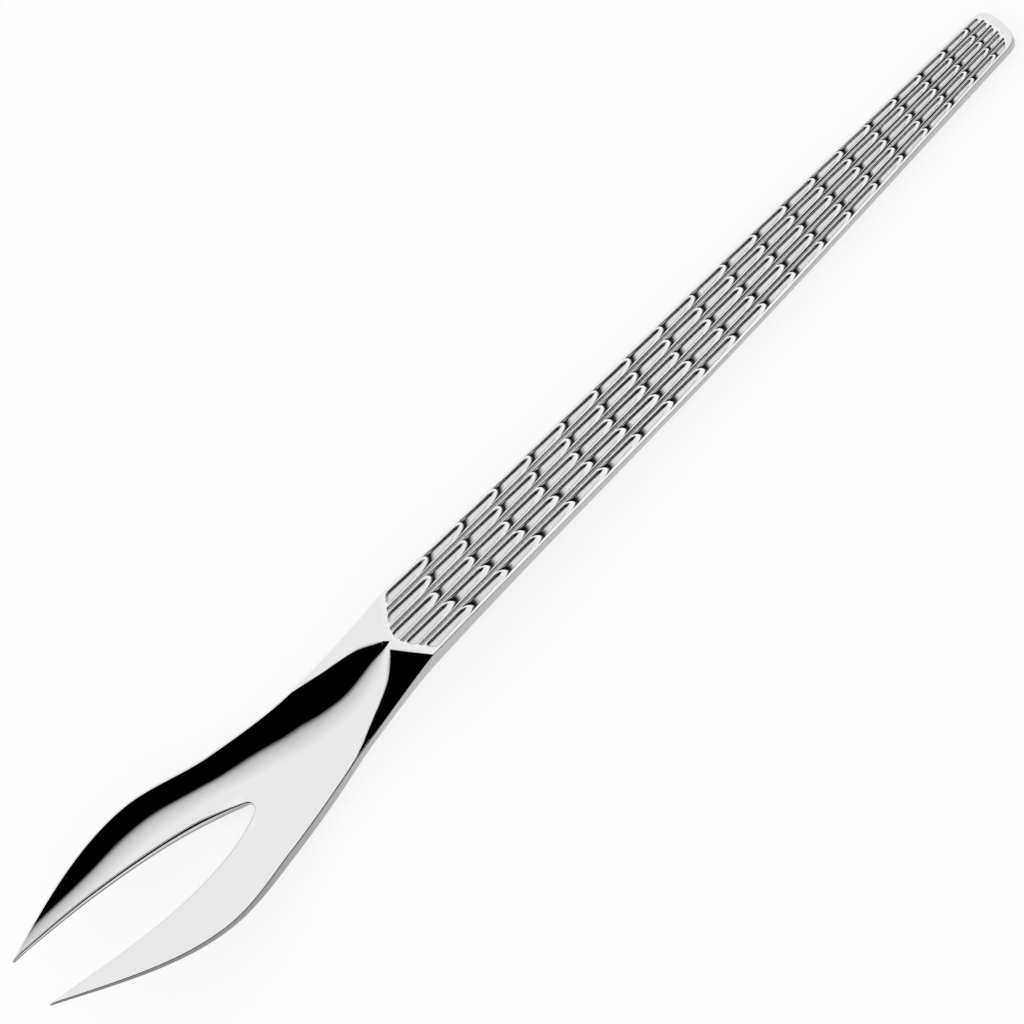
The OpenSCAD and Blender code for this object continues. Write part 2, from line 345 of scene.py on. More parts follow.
def lip_length(side):
    """Length over which the lip rounds off, on the blunt and on the drawn-out side."""
    return BLUNT_LENGTH if side > 0 else DRAWN_LENGTH


def lip_back(side):
    """How far the front of the lip lies behind its foremost point, at a place to its side."""
    share = min(1.0, abs(side) / RIDGE_FOOT)
    back = lip_length(side) * (1 - (1 - share**FULLNESS) ** (1 / FULLNESS))
    if side > RIDGE_FOOT:
        past_ridge = (side - RIDGE_FOOT) / (HALF_CELL - RIDGE_FOOT)
        back += (DRAWN_LENGTH - BLUNT_LENGTH) * past_ridge
    return back


def towards_lip(along, side):
    """0 on the middle line far behind the lip, 1 on the lip and on the ridges' crests."""
    length = lip_length(side)
    behind = SCALE_LENGTH * (1 - along)
    ahead = max(0.0, length - behind - lip_back(side)) / (length - LIP_BAND)
    return (ahead**FULLNESS + (abs(side) / RIDGE_CREST) ** FULLNESS) ** (1 / FULLNESS)


def scale_depth(along, side):
    """Depth under the flat face, without the pocket."""
    if abs(side) >= RIDGE_CREST:
        return LIP_DEPTH + straight(groove_line, abs(side))
    share = abs(side) / RIDGE_CREST
    if along == 0:
        return LIP_DEPTH + FOOT_DROP * (1 - share**3)
    to_lip = towards_lip(along, side)
    foot = step_foot(along) / RIDGE_CREST
    top = foot + STEP_WIDTH / RIDGE_CREST
    shoulder = SHOULDER_DROP * np.clip((1 - to_lip) / (1 - top), 0, 1) ** 1.5
    climb = np.clip((top - to_lip) / (top - foot), 0, 1)
    step = (FLOOR_DEPTH - SHOULDER_DROP) * climb * (2 - climb)
    behind = SCALE_LENGTH * (1 - along)
    front = FOOT_DROP * max(0.0, 1 - behind / FOOT_WIDTH) ** 2 * (1 - share**3)
    return LIP_DEPTH + float(shoulder + step) + front


print("half a cell:", round(HALF_CELL, 3), "mm, depth of a floor:", scale_depth(0.5, 0))

# %% [markdown]
# ### What the points of a tile carry
#
# Every point of the tile also carries a few numbers. The tree uses two of them: how far
# the lip is bent back there, and how deep the pocket is. The finish uses the others: how
# much painted shade the pocket, the grooves and the far step get, a dark tone that
# stands for their shade, and what belongs to the floor.

# %% Pocket, painted shade and floor
POCKET_DEPTH = 0.4
# Painted shade: a dark tone in the pockets, in the grooves and on the far steps stands for the
# shade and dark reflections there; these sizes say where it lies.
POCKET_LENGTH, PAINTED_SHADE_LENGTH = 1.7, 1.5
POCKET_CURVE = 1.5
GROOVE_SHADE_FULL, STRIPE_CLEAR = 1.3, 0.15
stripe_line = [(-0.1, 0), (0, 0.5), (0.1, 1.7), (0.2, 1.3), (0.3, 0.7)]


def pocket_share(along, side, length):
    """1 at the bottom of the pocket, 0 on the ridges and at a distance from the lip."""
    if along == 0 or abs(side) >= RIDGE_CREST:
        return 0.0
    return max(0.0, 1 - along * SCALE_LENGTH / length) * (1 - (abs(side) / RIDGE_CREST) ** 6)


def stripe_share(along, side):
    """Painted shade on the step of the far side, which is darkest at its foot."""
    if side <= 0:
        return 0.0
    foot = step_foot(along)
    line = [(foot + past, soot) for past, soot in stripe_line] + [(CREST_START, 0)]
    clear = np.clip((1 - towards_lip(along, side)) / STRIPE_CLEAR, 0, 1)
    return float(straight(line, side) * clear)


def groove_share(along, side):
    """Painted shade in the groove between two columns, and on the far step."""
    in_groove = straight([(RIDGE_FOOT, 0), (GROOVE_SHADE_FULL, 1)], abs(side))
    return in_groove + stripe_share(along, side)


def floor_share(along, side):
    """1 on the floor of the scale and 0 on its ridges and lip, where the wheel polishes."""
    if abs(side) >= RIDGE_CREST:
        return 0.0
    return min(1.0, max(0.0, scale_depth(along, side) / FLOOR_DEPTH))


print("soot reaches", PAINTED_SHADE_LENGTH, "mm out of a pocket of", POCKET_LENGTH, "mm")

# %% Tile of one scale
behind_lip = [
    0, 0.05, 0.12, 0.25, 0.38, 0.46, 0.58, 0.8, 1.1, 1.5, 2,
    2.7, 3.6, 4.7, 5.7, 6.6, 7.4, 8, 8.5, 8.86, 8.98,
]
along_lines = [0] + [1 - back / SCALE_LENGTH for back in behind_lip[::-1]]


def mesh_object(name, points, faces):
    """A mesh object at the origin, with its place in its mesh."""
    mesh = bpy.data.meshes.new(name)
    mesh.from_pydata([tuple(p) for p in points], [], [tuple(f) for f in faces])
    obj = bpy.data.objects.new(name, mesh)
    bpy.context.scene.collection.objects.link(obj)
    return obj


def grid_faces(lines, count):
    """Quads between successive lines of equally many points."""
    return [
        (i * count + j, (i + 1) * count + j, (i + 1) * count + j + 1, i * count + j + 1)
        for i in range(lines - 1)
        for j in range(count - 1)
    ]


def half_columns(along):
    """Places of the columns over one half of the tile, which follow the foot of the step."""
    foot = step_foot(along)
    top = foot + STEP_WIDTH
    step = [foot, foot + STEP_WIDTH / 3, foot + STEP_WIDTH * 2 / 3, top]
    ridge = [(top + CREST_START) / 2, CREST_START, RIDGE_CREST, RIDGE_FOOT]
    return [0, foot / 2, *step, *ridge, GROOVE_BROW, GROOVE_WALL, HALF_CELL]


tile_places = []
for along in along_lines:
    half = half_columns(along)
    tile_places += [(along, side) for side in [-side for side in half[:0:-1]] + half]
tile_points = [(a, 0.5 + s / (2 * HALF_CELL), -scale_depth(a, s)) for a, s in tile_places]
tile_faces = grid_faces(len(along_lines), len(tile_places) // len(along_lines))
tile = mesh_object("scale_tile", tile_points, tile_faces)
# Two of these values mark painted shade for the finish: one in the pocket, one in the grooves
# and on the far step.
tile_values = {
    "arch": lambda a, s: lip_back(s) / SCALE_LENGTH,
    "pocket": lambda a, s: pocket_share(a, s, POCKET_LENGTH) ** POCKET_CURVE,
    "soot": lambda a, s: pocket_share(a, s, PAINTED_SHADE_LENGTH),
    "groove": groove_share,
    "floor": floor_share,
}
for name, value_at in tile_values.items():
    attribute = tile.data.attributes.new(name, "FLOAT", "POINT")
    attribute.data.foreach_set("value", [value_at(a, s) for a, s in tile_places])
print("tile:", len(tile.data.polygons), "faces")

# %% [markdown]
# ### The guide
#
# The guide is the flat face of the handle between the rim and the end, cut into cells.
# Its UV map holds the count of rows and columns as a share of all of them.

# %% Guide of the face
ALONG_CELLS, ACROSS_CELLS = 6, 4
edge_column = GROOVE_SHARE / 2 / CELL
guide_rows = [i / ALONG_CELLS for i in range(ROWS * ALONG_CELLS + 1)]
guide_columns = [i / ACROSS_CELLS for i in range(COLUMNS * ACROSS_CELLS + 1)]
guide_columns = sorted(guide_columns + [edge_column, COLUMNS - edge_column])


def row_frame(point):
    """A place in drawing millimetres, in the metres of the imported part."""
    return ((point[0] - LENGTH / 2) * MM, point[1] * MM, point[2] * MM)


guide_points = [row_frame(seat(a, c)) for a in guide_rows for c in guide_columns]
guide = mesh_object("relief", guide_points, grid_faces(len(guide_rows), len(guide_columns)))
uv = guide.data.uv_layers.new(name="count")
counts = [(a / ROWS, c / COLUMNS) for a in guide_rows for c in guide_columns]
for loop in guide.data.loops:
    uv.data[loop.index].uv = counts[loop.vertex_index]
print("guide:", len(guide.data.polygons), "cells")

# %% [markdown]
# ### The tree that coins the handle
#
# The tree reads from left to right as a maker would work: set the tiles out, bend the
# sheet so that the tips are round, fade it into the plain land all round, press it into
# the face, weld it and give it its finish. It also keeps how much painted shade each
# point gets as attributes, which the finish reads later.

# %% Helpers for node trees


def add_socket(tree, side, name, kind, value=None):
    """A named input or output of a tree."""
    socket = tree.interface.new_socket(name, in_out=side, socket_type="NodeSocket" + kind)
    if value is not None:
        socket.default_value = value


def add_node(tree, kind, inputs, **settings):
    """A node with inputs that are values or other nodes' sockets; gives its outputs."""
    node = tree.nodes.new(kind)
    for name, value in settings.items():
        setattr(node, name, value)
    for name, value in inputs.items():
        if isinstance(value, bpy.types.NodeSocket):
            tree.links.new(value, node.inputs[name])
        else:
            node.inputs[name].default_value = value
    return node.outputs


def calculate(tree, operation, a, b, clamp=False):
    """A Math node on sockets or numbers; gives its result."""
    settings = {"operation": operation, "use_clamp": clamp}
    return add_node(tree, "ShaderNodeMath", {0: a, 1: b}, **settings)[0]


def multiply(tree, a, b, clamp=False):
    """The product of two sockets or numbers."""
    return calculate(tree, "MULTIPLY", a, b, clamp)


# %% Tree that sets out the scales
coin = bpy.data.node_groups.new("coined_scales", "GeometryNodeTree")
add_socket(coin, "INPUT", "Face", "Geometry")
add_socket(coin, "INPUT", "Scale", "Object")
add_socket(coin, "INPUT", "Rows", "Int", 1)
add_socket(coin, "INPUT", "Columns", "Int", 1)
add_socket(coin, "INPUT", "Depth", "Float", 1.0)
add_socket(coin, "INPUT", "Pocket depth", "Float", POCKET_DEPTH)
add_socket(coin, "INPUT", "Finish", "Material")
add_socket(coin, "OUTPUT", "Relief", "Geometry")
given = add_node(coin, "NodeGroupInput", {})
length = calculate(coin, "SUBTRACT", given["Rows"], 1)
width = calculate(coin, "SUBTRACT", given["Columns"], 1)
counted = {"Vertices X": given["Rows"], "Vertices Y": given["Columns"]}
grid = add_node(coin, "GeometryNodeMeshGrid", {**counted, "Size X": length, "Size Y": width})
half_size = {"X": multiply(coin, length, 0.5), "Y": multiply(coin, width, 0.5)}
to_corner = add_node(coin, "GeometryNodeTransform", {
    "Geometry": grid["Mesh"],
    "Translation": add_node(coin, "ShaderNodeCombineXYZ", half_size)[0],
})
one_scale = add_node(coin, "GeometryNodeObjectInfo", {"Object": given["Scale"]})
copies = add_node(coin, "GeometryNodeInstanceOnPoints", {
    "Points": to_corner[0],
    "Instance": one_scale["Geometry"],
})
sheet = add_node(coin, "GeometryNodeRealizeInstances", {0: copies[0]})
print("grid of", ROWS, "by", COLUMNS, "copies")

# %% Bend and fade the sheet
END_FADE = 0.03
SIDE_MARGIN, SIDE_FADE = 0.1, 0.04


def read_value(name, kind="FLOAT"):
    """Reads a value that the tile or the guide carries."""
    return add_node(coin, "GeometryNodeInputNamedAttribute", {"Name": name}, data_type=kind)[0]


def fade_in(distance, width):
    """0 at the border of the sheet and 1 from the given width on."""
    return calculate(coin, "DIVIDE", distance, width, clamp=True)


position = add_node(coin, "GeometryNodeInputPosition", {})[0]
along, across, height = add_node(coin, "ShaderNodeSeparateXYZ", {0: position})
to_end = calculate(coin, "SUBTRACT", given["Rows"], along)
to_side = calculate(coin, "SUBTRACT", given["Columns"], across)
whole = [calculate(coin, "MINIMUM", distance, 1.0) for distance in (along, to_end)]
arch = multiply(coin, read_value("arch"), multiply(coin, *whole))
bent = calculate(coin, "SUBTRACT", along, arch)
fade = multiply(coin, fade_in(along, END_FADE), fade_in(to_end, END_FADE))
for to_border in (across, to_side):
    past_margin = calculate(coin, "SUBTRACT", to_border, SIDE_MARGIN)
    fade = multiply(coin, fade, fade_in(past_margin, SIDE_FADE))
print("the relief fades over", END_FADE, "of a row")

# %% Press the sheet into the face
WELD = 0.003
behind_first_tip = calculate(coin, "GREATER_THAN", along, 1.0)
pocket = multiply(coin, read_value("pocket"), behind_first_tip)
pocket = multiply(coin, pocket, given["Pocket depth"])
depth = multiply(coin, calculate(coin, "SUBTRACT", height, pocket), given["Depth"])
drop = multiply(coin, multiply(coin, depth, fade), MM)
on_face = {
    "X": calculate(coin, "DIVIDE", bent, given["Rows"]),
    "Y": calculate(coin, "DIVIDE", across, given["Columns"]),
}
found = add_node(coin, "GeometryNodeSampleUVSurface", {
    "Mesh": given["Face"],
    "Value": position,
    "UV Map": read_value("count", "FLOAT_VECTOR"),
    "Sample UV": add_node(coin, "ShaderNodeCombineXYZ", on_face)[0],
}, data_type="FLOAT_VECTOR")
# Painted shade in the pockets, kept behind the first tip and faded at the borders.
pocket_shade_mask = multiply(coin, fade, behind_first_tip)
carried = {
    "along": along,
    "across": across,
    "hollow": multiply(coin, read_value("soot"), pocket_shade_mask),
    "groove": multiply(coin, read_value("groove"), fade),
    "floor": multiply(coin, read_value("floor"), fade),
}
kept = sheet
for name, value in carried.items():
    inputs = {"Geometry": kept[0], "Name": name, "Value": value}
    kept = add_node(coin, "GeometryNodeStoreNamedAttribute", inputs, data_type="FLOAT")
pressed = add_node(coin, "GeometryNodeSetPosition", {
    "Geometry": kept[0],
    "Position": found["Value"],
    "Offset": add_node(coin, "ShaderNodeCombineXYZ", {"Z": drop})[0],
})
to_weld = {"Geometry": pressed[0], "Distance": WELD * MM}
welded = add_node(coin, "GeometryNodeMergeByDistance", to_weld)
to_finish = {"Geometry": welded[0], "Material": given["Finish"]}
finished = add_node(coin, "GeometryNodeSetMaterial", to_finish)
add_node(coin, "NodeGroupOutput", {"Relief": finished[0]})
print("tree:", len(coin.nodes), "nodes")

# %% Run the tree and keep its mesh


def run_tree(obj, tree, values):
    """Runs a tree on an object and makes the result its plain mesh."""
    modifier = obj.modifiers.new("tree", "NODES")
    modifier.node_group = tree
    sockets = {s.name: s.identifier for s in tree.interface.items_tree if s.in_out == "INPUT"}
    for name, value in values.items():
        modifier[sockets[name]] = value
    evaluated = obj.evaluated_get(bpy.context.evaluated_depsgraph_get())
    made = bpy.data.meshes.new_from_object(evaluated)
    obj.modifiers.remove(modifier)
    obj.data = made


coined_steel = bpy.data.materials.new("coined_steel")
polished_steel = bpy.data.materials.new("polished_steel")
cut_steel_painted_shade = bpy.data.materials.new("cut_edge_steel_painted_shade")
sizes = {"Rows": ROWS, "Columns": COLUMNS, "Depth": 1.0, "Pocket depth": POCKET_DEPTH}
run_tree(guide, coin, {"Scale": tile, "Finish": coined_steel, **sizes})
relief = guide.data
bpy.data.objects.remove(tile)
print("relief:", len(relief.vertices), "points,", len(relief.polygons), "faces")

# %% [markdown]
# ## The blank round the relief
#
# The rest of the skin is drawn one half at a time. Every ring of the skin starts on the
# middle plane, runs over the top to the outline, down the side with a small rounding at
# each edge, and back underneath. On the tines it also goes round the inner edge, along
# the gap. The rings stand exactly on the points of the relief's border, so the two meshes
# weld into one closed skin. A mirror makes the other half.
#
# How wide each edge is rounded is a line of stations as well. A mirror shows a rounding as
# a bright line, and its width in the picture is what sets these numbers.

# %% Border of the relief
def read_points(mesh):
    """The points of a mesh as rows of an array."""
    points = np.zeros(len(mesh.vertices) * 3, np.float32)
    mesh.vertices.foreach_get("co", points)
    return points.reshape(-1, 3)


def read_attribute(mesh, name):
    """A float attribute of the points as an array."""
    values = np.zeros(len(mesh.vertices), np.float32)
    mesh.attributes[name].data.foreach_get("value", values)
    return values


relief_points = read_points(relief).astype(float) / MM + (LENGTH / 2, 0, 0)
along_of = read_attribute(relief, "along")
across_of = read_attribute(relief, "across")


def border(chosen, order):
    """Points of one border of the relief, in the order of an attribute."""
    picked = np.flatnonzero(chosen)
    return relief_points[picked[np.argsort(order[picked])]]


CLOSE = 1e-4
outer_half = across_of > COLUMNS / 2 - CLOSE
front = border((along_of < CLOSE) & outer_half, across_of)
back = border((along_of > ROWS - CLOSE) & outer_half, across_of)
flank = border(across_of > COLUMNS - CLOSE, along_of)
print("border points:", len(front), len(back), len(flank))

# %% Outline of the blank and of the gap
BALL_STEPS, ROOT_STEPS = 64, 14


def table_of_gap():
    """Points and outward directions of the gap's edge, from the points to its root."""
    ball = np.linspace(0, GAP_LENGTH - GAP_ROOT, BALL_STEPS)
    radius = curve(gap_line, ball)
    slope = np.gradient(radius, ball)
    upright = np.sqrt(1 - slope**2)
    edge = np.stack([ball - radius * slope, radius * upright], 1)
    first = math.atan2(edge[-1, 1], edge[-1, 0] - ball[-1])
    turn = np.linspace(first, 0, ROOT_STEPS)[1:]
    round_root = np.stack([np.cos(turn), np.sin(turn)], 1)
    points = np.concatenate([edge, (ball[-1], 0) + GAP_ROOT * round_root])
    normals = np.concatenate([np.stack([-slope, upright], 1), round_root])
    on_fork = points[:, 0] >= 0
    points, normals = points[on_fork], normals[on_fork]
    points[0, 0] = 0
    return points, normals


def outer_edge(x):
    """Points and outward directions of the outline at places along the fork."""
    step = 0.01
    y = half_outline(x)
    slope = (half_outline(x + step) - half_outline(x - step)) / (2 * step)
    size = np.hypot(1, slope)
    return np.stack([x, y], 1), np.stack([-slope / size, 1 / size], 1)


gap_points, gap_normals = table_of_gap()
print("gap edge:", len(gap_points), "points to", gap_points[-1].round(2).tolist())

# %% Rings of one half
TOP_LANDS = 3
UNDER_COLUMNS = 8
FILLET = np.radians([0, 22.5, 45, 67.5, 90])
WALL_SHARES = [0.33, 0.67]
ROOT_SOFT = 0.3
UNDER_SOFT, GAP_UNDER_SOFT = 0.8, 1.2
gap_soft_line = [(0, 0.3), (14, 1.25), (30, 1.4), (44, 0.6), (GAP_LENGTH, ROOT_SOFT)]
edge_soft_line = [
    (0, 0.3), (20, 0.4), (70, 0.4), (RIM_X, 0.22), (130, 0.12), (LENGTH, 0.15),
]


def inset(edge, normal, distance):
    """The edge moved inwards."""
    return edge - normal * distance[:, None]


def fillet(edge, normal, radius, start, way):
    """Lines of points over a rounded edge, from the height of a face to the side."""
    lines = []
    for angle in FILLET:
        plan = inset(edge, normal, radius * (1 - math.sin(angle)))
        lines.append(np.column_stack([plan, start + way * radius * (1 - math.cos(angle))]))
    return lines


def wall(edge, normal, soft, under_soft):
    """Where the top and the underside end at an edge, and the rounded side between them."""
    over, below = inset(edge, normal, soft), inset(edge, normal, under_soft)
    top_arc = fillet(edge, normal, soft, top_z(*over.T), -1)
    under_arc = fillet(edge, normal, under_soft, under_z(*below.T), 1)
    side = [top_arc[-1] * (1 - share) + under_arc[-1] * share for share in WALL_SHARES]
    return over, below, top_arc + side + under_arc[::-1]


def outer_wall(edge, normal):
    """The wall at the outline of the fork."""
    soft = curve(edge_soft_line, edge[:, 0])
    return wall(edge, normal, soft, np.full(len(edge), UNDER_SOFT))


def columns(inner, outer, shares, height):
    """Lines of points from the inner to the outer end of each ring, swept as the rim is."""
    lines = []
    for share in shares:
        x = inner[:, 0] + (outer[:, 0] - inner[:, 0]) * dish(share, NOSE_ROUNDNESS)
        y = inner[:, 1] + (outer[:, 1] - inner[:, 1]) * share
        lines.append(np.column_stack([x, y, height(x, y)]))
    return lines


def on_middle(x):
    """Places on the middle plane, in plan."""
    return np.column_stack([x, np.zeros(len(x))])


def flat_lines(start, end, count):
    """Lines of points on the flat face, from one row of places in plan to another."""
    plans = [start * (1 - t) + end * t for t in np.linspace(0, 1, count)]
    return [np.column_stack([plan, face_z(plan[:, 0])]) for plan in plans]


def with_land(row, end):
    """A border of the relief in plan, carried on over the plain land to its end."""
    shares = np.linspace(0, 1, TOP_LANDS + 1)[1:, None]
    return np.concatenate([row[:, :2], row[-1, :2] + (end - row[-1, :2]) * shares])


corner = front[-1:, 0]
front_share = front[:, 1] / (half_outline(corner) - curve(edge_soft_line, corner))
land_share = np.linspace(front_share[-1], 1, TOP_LANDS + 1)[1:]
top_shares = np.concatenate([front_share, land_share])
under_shares = np.linspace(1, 0, UNDER_COLUMNS + 1)
print("columns over one half of the top:", len(top_shares))

# %% A skin of lines
skin_points, skin_faces = [], []


def add_points(points):
    """Adds points to the skin; gives their numbers."""
    start = sum(len(p) for p in skin_points)
    skin_points.append(np.array(points))
    return range(start, start + len(points))


def add_skin(lines, closed=False):
    """Adds the quads between neighbouring lines of points, each with one point per ring."""
    rings, count = np.stack(lines, axis=1), len(lines)
    start = add_points(rings.reshape(-1, 3))[0]
    for ring in range(start, start + (len(rings) - 1) * count, count):
        for j in range(count if closed else count - 1):
            a, b = ring + j, ring + (j + 1) % count
            skin_faces.append((a, b, b + count, a + count))
    return range(start, start + count)


def stitch(a, b, shares_a, shares_b):
    """Triangles between two rows of points with different spacing."""
    i = j = 0
    while i < len(a) - 1 or j < len(b) - 1:
        if j == len(b) - 1 or (i < len(a) - 1 and shares_a[i + 1] <= shares_b[j + 1]):
            skin_faces.append((a[i], a[i + 1], b[j]))
            i += 1
        else:
            skin_faces.append((a[i], b[j + 1], b[j]))
            j += 1


# %% Tines
ROOM_SHARE = 0.4
tine_x = gap_points[:, 0]
room = half_outline(tine_x) - gap_points[:, 1]
thick = top_z(*gap_points.T) - under_z(*gap_points.T)


def soft_on_tine(radius, thick_share):
    """A rounding that leaves some of the tine's width and of its thickness."""
    return np.minimum(radius, np.minimum(room * ROOM_SHARE, thick * thick_share))


outer, outer_under, tine_out = wall(
    *outer_edge(tine_x),
    soft_on_tine(curve(edge_soft_line, tine_x), thick_share=1.0),
    soft_on_tine(UNDER_SOFT, thick_share=0.5),
)
inner, inner_under, tine_in = wall(
    gap_points,
    -gap_normals,
    soft_on_tine(curve(gap_soft_line, tine_x), thick_share=0.4),
    soft_on_tine(GAP_UNDER_SOFT, thick_share=0.55),
)
tine_top = columns(inner, outer, top_shares, top_z)
tine_under = columns(inner_under, outer_under, under_shares, under_z)
tine_lines = tine_top + tine_out[1:-1] + tine_under + tine_in[-2:0:-1]
tip_loop = add_skin(tine_lines, closed=True)
skin_faces.append(tuple(tip_loop))
print("tines:", len(tine_x), "rings of", len(tip_loop), "points")

# %% Bowl and neck, up to the pointed rim
NECK_RINGS = 72
before_apex = np.array([1.6, 1.2, 0.7, 0.4, 0.2, 0.09, 0.03, 0])
start_x = GAP_LENGTH + ROOT_SOFT
neck_x = np.concatenate([
    np.linspace(start_x, APEX_X - before_apex[0], NECK_RINGS),
    APEX_X - before_apex[1:],
])
sweep = (RIM_REACH + ROOT_SOFT) * ((neck_x - start_x) / (APEX_X - start_x)) ** 2 - ROOT_SOFT
outer, outer_under, neck_side = outer_wall(*outer_edge(neck_x + sweep))
inner = on_middle(neck_x)
root_reach = inner_under[-1, 0] - start_x
inner_under = inner + (1, 0) * (root_reach * (APEX_X - inner[:, :1]) / (APEX_X - start_x))
neck_top = columns(inner, outer, top_shares, top_z)
neck_under = columns(inner_under, outer_under, under_shares, under_z)
add_skin(neck_top + neck_side[1:-1] + neck_under)
print("neck:", len(neck_x), "rings")

# %% Plain land between the rim and the scales
corner_x = front[-1, 0]
land_t = np.array([0, 0.012, 0.035, 0.08, 0.16, 0.3, 0.45, 0.6, 0.75, 0.88, 1])
land_edge = outer_edge(RIM_X + (corner_x - RIM_X) * land_t)
land_outer, land_outer_under, land_side = outer_wall(*land_edge)
land_inner = on_middle(APEX_X + (front[0, 0] - APEX_X) * land_t)
land_under = columns(land_inner, land_outer_under, under_shares, under_z)
last_row = with_land(front, land_outer[-1])
land_top = []
for j, line in enumerate(neck_top):
    x = line[-1, 0] + (last_row[j, 0] - line[-1, 0]) * land_t
    y = line[-1, 1] + (last_row[j, 1] - line[-1, 1]) * land_t
    land_top.append(np.column_stack([x, y, top_z(x, y)]))
for line, point in zip(land_top, front):
    line[-1] = point
add_skin(land_top + land_side[1:-1] + land_under)
print("rim land:", len(land_t), "rings")

# %% Handle beside and under the scales
side_x = flank[:, 0]
grip_outer, grip_outer_under, grip_side = outer_wall(*outer_edge(side_x))
grip_lands = flat_lines(flank[:, :2], grip_outer, TOP_LANDS + 1)
grip_lands[0] = flank
grip_lands[-1][:, 2] = grip_side[0][:, 2]
nose_left = np.clip(1 - (side_x - corner_x) / (GRIP_X - corner_x), 0, 1)
grip_inner = on_middle(side_x - (corner_x - front[0, 0]) * nose_left)
grip_under = columns(grip_inner, grip_outer_under, under_shares, under_z)
add_skin(grip_lands + grip_side[1:-1] + grip_under)
print("handle:", len(side_x), "rings")

# %% Round end of the handle
END_STEPS, END_LINES = 400, 6
end_x = LENGTH - END_ROUND
angles = np.linspace(0, math.pi / 2, END_STEPS)
end_y = float(curve(width_line, LENGTH)) * np.sin(angles) ** (2 / 3)
end_curve = np.column_stack([end_x + END_ROUND * np.cos(angles) ** (2 / 3), end_y])
end_curve[:, 1] *= curve(width_line, end_curve[:, 0]) / curve(width_line, LENGTH)
end_curve = end_curve[end_curve[:, 0] >= side_x[-1]]
run = np.concatenate([[0], np.cumsum(np.hypot(*np.diff(end_curve, axis=0).T))])
end_row = with_land(back, grip_outer[-1])
end_share = np.arange(len(end_row)) / (len(end_row) - 1)
end_outline = np.column_stack([np.interp(end_share * run[-1], run, c) for c in end_curve.T])
end_width = curve(width_line, end_outline[:, 0])
end_normals = np.column_stack([
    (end_outline[:, 0] - end_x) ** 2 / END_ROUND**3,
    end_outline[:, 1] ** 2 / end_width**3,
])
end_normals /= np.hypot(*end_normals.T)[:, None]
(end_outline[-1],), (end_normals[-1],) = outer_edge(side_x[-1:])
end_outer, _, end_side = outer_wall(end_outline, end_normals)
end_top = flat_lines(end_row, end_outer, END_LINES)
end_top[0][: len(back)] = back
end_side[0][:, 2] = end_top[-1][:, 2]
end_lines = end_top + end_side[1:]
lowest = add_skin(end_lines)[-1]
rim_row = [lowest + i * len(end_lines) for i in range(len(end_row))]
under_row = add_points([line[-1] for line in grip_under[::-1]])
stitch(rim_row, under_row, end_share, np.linspace(0, 1, len(under_row)))
print("end:", len(end_row), "points round half the end")

# %% [markdown]
# ## One closed skin
#
# The half is mirrored, joined to the relief and welded. A closed skin has no edge with
# only one face, and the count below proves it. The small fit at the end keeps the piece
# inside the box of the imported part, to a few hundredths of a millimetre.
#
# The cut sides have a finish of their own: satin steel, whose dark tone is a painted
# reflection of a darker floor. Which faces are cut is told by how steep they stand: by the
# height of their normal, which is 1 on a level face and 0 on an upright one. The wheel
# reaches further down into the gap than round the outline, so the gap has a limit of its
# own. Another limit leaves the underside out.

# %% Mirror, join and weld
OUTLINE_CUT, GAP_CUT, UNDER_CUT = 0.74, 0.2, -0.9
SKIN_WELD, SMALLEST_EDGE = 0.002, 0.0005
half_points = np.concatenate(skin_points)
both = np.concatenate([half_points, half_points * (1, -1, 1)])
mirrored = [tuple(i + len(half_points) for i in reversed(face)) for face in skin_faces]
fork = mesh_object("serving_fork_steel", [row_frame(p) for p in both], skin_faces + mirrored)
for material in (polished_steel, coined_steel, cut_steel_painted_shade):
    fork.data.materials.append(material)
for name in ("along", "across", "hollow", "groove", "floor"):
    fork.data.attributes.new(name, "FLOAT", "POINT")


def is_cut(face):
    """Whether a face of the blank belongs to its cut side."""
    in_gap = face.normal.y * face.calc_center_median().y < 0
    return UNDER_CUT < face.normal.z < (GAP_CUT if in_gap else OUTLINE_CUT)


skin = bmesh.new()
skin.from_mesh(fork.data)
blank_faces = len(skin.faces)
skin.from_mesh(relief)
skin.faces.ensure_lookup_table()
for face in skin.faces[blank_faces:]:
    face.material_index = 1
bmesh.ops.remove_doubles(skin, verts=skin.verts, dist=SKIN_WELD * MM)
bmesh.ops.dissolve_degenerate(skin, edges=skin.edges, dist=SMALLEST_EDGE * MM)
loose = [v for v in skin.verts if not v.link_faces]
bmesh.ops.delete(skin, geom=loose, context="VERTS")
bmesh.ops.recalc_face_normals(skin, faces=skin.faces)
bmesh.ops.triangulate(skin, faces=[f for f in skin.faces if len(f.verts) > 4])
# Upright faces of the blank get the cut steel with its painted reflection.
for face in skin.faces:
    face.smooth = True
    if face.material_index == 0 and is_cut(face):
        face.material_index = 2
print("edges without two faces:", sum(len(e.link_faces) != 2 for e in skin.edges))
print("volume:", round(skin.calc_volume() / MM**3, 1), "cubic millimetres")
skin.to_mesh(fork.data)
skin.free()
bpy.data.objects.remove(guide)

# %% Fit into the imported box
low, high = (np.array(corner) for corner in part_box("serving_fork"))
points = read_points(fork.data)
lift = points[:, 2].min()
fit = np.minimum(1, (high - low) / (points.max(axis=0) - points.min(axis=0)))
middle_x = (points[:, 0].min() + points[:, 0].max()) / 2
points = (points - (middle_x, 0, lift)) * fit
fork.data.vertices.foreach_set("co", points.astype(np.float32).ravel())
fork.data.update()
print("fitted by", fit.round(5).tolist(), "lifted by", round(-float(lift) / MM, 3), "mm")
print("triangles:", sum(len(p.vertices) - 2 for p in fork.data.polygons))
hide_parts("serving_fork")
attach(fork, "root")

